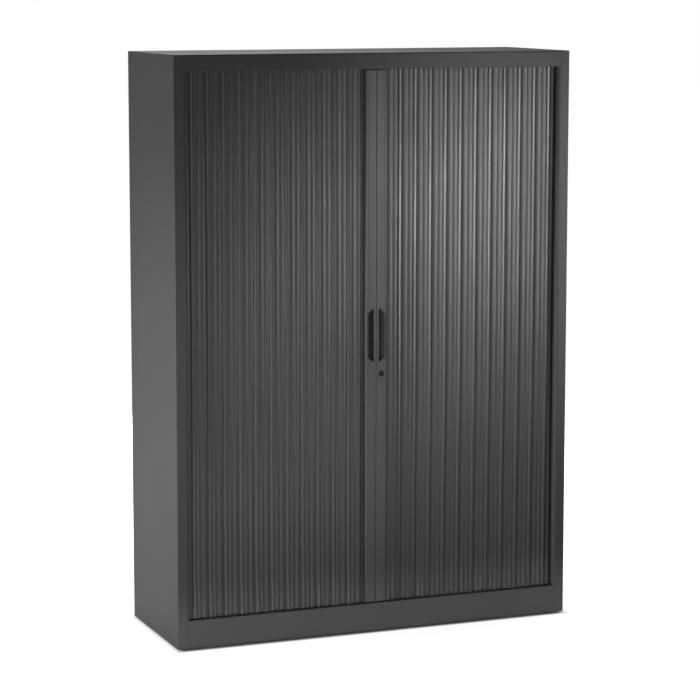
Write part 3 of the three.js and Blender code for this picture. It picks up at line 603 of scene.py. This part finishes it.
def white_share(tree):
    """The share of the white that a ray sees: all of it from the camera, some by gloss or through glass."""
    seen = node(tree, "ShaderNodeLightPath").outputs
    bounced = node(tree, "ShaderNodeMath", {0: seen["Is Glossy Ray"], 1: seen["Is Transmission Ray"]},
                   operation="MAXIMUM")
    dimmed = node(tree, "ShaderNodeMath", {0: bounced.outputs[0], 1: MIRRORED}, operation="MULTIPLY")
    share = node(tree, "ShaderNodeMath", {0: seen["Is Camera Ray"], 1: dimmed.outputs[0]},
                 operation="MAXIMUM")
    return share.outputs[0]


def studio_floor():
    """Matt pale paint that glows white, so that it meets the background without a line. The glow is left out
    under the cabinet and a little round it, which paints shade on the gap below the plinth and at the
    cabinet's foot."""
    made, tree, shader, place = material("pale_floor_paint")
    fill(tree, shader, {"Base Color": linear("e1e1e1"), "Roughness": 0.9, "Specular IOR Level": 0.1})
    top_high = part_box("top_panel")[1]
    patch = (1 / (top_high.x + PAINTED_SHADOW_MARGIN), 1 / (top_high.y + PAINTED_SHADOW_MARGIN), 1)
    shrunk = node(tree, "ShaderNodeMapping", {"Vector": place, "Scale": patch})
    folded = node(tree, "ShaderNodeVectorMath", {0: shrunk.outputs[0]}, operation="ABSOLUTE")
    apart = node(tree, "ShaderNodeSeparateXYZ", {0: folded.outputs[0]})
    away = node(tree, "ShaderNodeMath", {0: apart.outputs[0], 1: apart.outputs[1]},
                operation="MAXIMUM").outputs[0]
    # No glow inside the patch: the painted shade at the cabinet's foot
    clear = node(tree, "ShaderNodeValToRGB", {0: away}, stops=((0.94, grey(0.0)), (1.0, grey(1.0))))
    distant = node(tree, "ShaderNodeMapRange", {"Value": away, "From Min": NEAR, "From Max": FAR,
                                                "To Min": NEAR_GLOW, "To Max": FAR_GLOW})
    strength = node(tree, "ShaderNodeMath", {0: clear.outputs[0], 1: distant.outputs[0]},
                    operation="MULTIPLY")
    glow = node(tree, "ShaderNodeEmission", {"Color": WHITE, "Strength": strength.outputs[0]})
    both = node(tree, "ShaderNodeAddShader", {0: shader.outputs[0], 1: glow.outputs[0]})
    shown = node(tree, "ShaderNodeMixShader", {
        0: white_share(tree), 1: shader.outputs[0], 2: both.outputs[0]})
    fill(tree, tree.nodes["Material Output"], {"Surface": shown.outputs[0]})
    corners = [(x * FLOOR_REACH, y * FLOOR_REACH, FLOOR_LEVEL)
               for x, y in ((-1, -1), (1, -1), (1, 1), (-1, 1))]
    return mesh_object("studio_floor", corners, [(0, 1, 2, 3)], made, None)


def studio_world():
    """A faint grey light from all round, which the camera sees as white."""
    world = bpy.data.worlds.new("studio")
    bpy.context.scene.world = world
    world.use_nodes = True
    tree = world.node_tree
    faint = tree.nodes["Background"]
    fill(tree, faint, {"Color": WHITE, "Strength": 0.04})
    white = node(tree, "ShaderNodeBackground", {"Color": WHITE, "Strength": 1.0})
    shown = node(tree, "ShaderNodeMixShader", {
        0: white_share(tree), 1: faint.outputs[0], 2: white.outputs[0]})
    fill(tree, tree.nodes["World Output"], {"Surface": shown.outputs[0]})


studio_floor()
studio_world()


# Lamps, unseen by the camera. Power is in watts, sizes are in metres and angles in degrees.

def lamp(name, kind, place, aim, power, **settings):
    """A studio lamp at a place, turned to its aim."""
    light = bpy.data.lights.new(name, kind)
    light.energy = power
    for key, value in settings.items():
        setattr(light, key, value)
    made = bpy.data.objects.new(name, light)
    bpy.context.collection.objects.link(made)
    made.visible_camera = False
    made.location = place
    made.rotation_euler = (Vector(aim) - Vector(place)).to_track_quat("-Z", "Y").to_euler()


def softbox(name, place, aim, power, wide, tall, **settings):
    """A flat soft lamp."""
    lamp(name, "AREA", place, aim, power, shape="RECTANGLE", size=wide, size_y=tall, **settings)


def spot(name, place, aim, power, angle):
    """A round lamp with a soft-edged cone."""
    lamp(name, "SPOT", place, aim, power, spot_size=math.radians(angle), spot_blend=1.0,
         shadow_soft_size=0.25)


# The photo's light: from the left on the side face, from the right on the front, and up from the floor
softbox("side_left", (-3.2, -0.2, 1.0), aim=(-0.6, 0, 0.8), power=36, wide=1.2, tall=1.6)
spot("side_left_middle", (-3.4, -0.6, 1.0), aim=(-0.6, 0, 0.75), power=230, angle=28)
spot("front_right_high", (2.6, -2.2, 1.35), aim=(0.45, -0.2, 1.5), power=135, angle=18)
spot("front_right", (2.4, -2.6, 1.0), aim=(0.15, -0.2, 0.9), power=236, angle=22)
spot("front_middle", (1.4, -3.5, 1.6), aim=(0.32, -0.2, 1.35), power=122, angle=15)
softbox("front_left", (-1.2, -3.6, 1.0), aim=(0, -0.2, 0.9), power=11, wide=1.6, tall=1.2)
softbox("floor_left", (-1.1, -1.3, 0.1), aim=(-0.5, -0.2, 0.1), power=2.9, wide=1.2, tall=0.18)
softbox("floor_right", (0.5, -1.6, 0.1), aim=(0, -0.2, 0.1), power=1.1, wide=1.6, tall=0.18)
softbox("floor_front", (0, -1.1, 0.05), aim=(0, -0.2, 0.03), power=0.36, wide=2.2, tall=0.06, spread=0.35)
# Plain fill for the faces that the photo doesn't show
softbox("overhead", (-0.4, 1.6, 3.6), aim=(0, 0, 1.2), power=68, wide=3.0, tall=1.6)
softbox("side_right", (3.4, 0.9, 0.7), aim=(0.6, 0, 0.7), power=42, wide=1.2, tall=1.2)
softbox("behind", (0.6, 3.6, 0.8), aim=(0, 0.2, 0.8), power=72, wide=2.0, tall=1.2)


# Camera, from the left front, fitted to the corners of the cabinet in the photo

CAMERA_PLACE = (-2.7117, -6.7454, 1.8637)
TURNED = math.radians(21.755)  # to the right
TILTED = math.radians(-7.759)  # down
SENSOR_WIDTH = 36.0
FOCAL_LENGTH = 129.397
SHIFT_X, SHIFT_Y = 0.00984, -0.04

camera = bpy.data.objects.new("camera", bpy.data.cameras.new("camera"))
bpy.context.collection.objects.link(camera)
bpy.context.scene.camera = camera
forward = Vector((math.sin(TURNED) * math.cos(TILTED), math.cos(TURNED) * math.cos(TILTED), math.sin(TILTED)))
camera.location = CAMERA_PLACE
camera.rotation_euler = forward.to_track_quat("-Z", "Y").to_euler()
camera.data.sensor_width = SENSOR_WIDTH
camera.data.lens = FOCAL_LENGTH
camera.data.shift_x = SHIFT_X
camera.data.shift_y = SHIFT_Y
camera.data.clip_start = 0.1
camera.data.clip_end = 200.0
bpy.context.scene.view_settings.view_transform = "Standard"
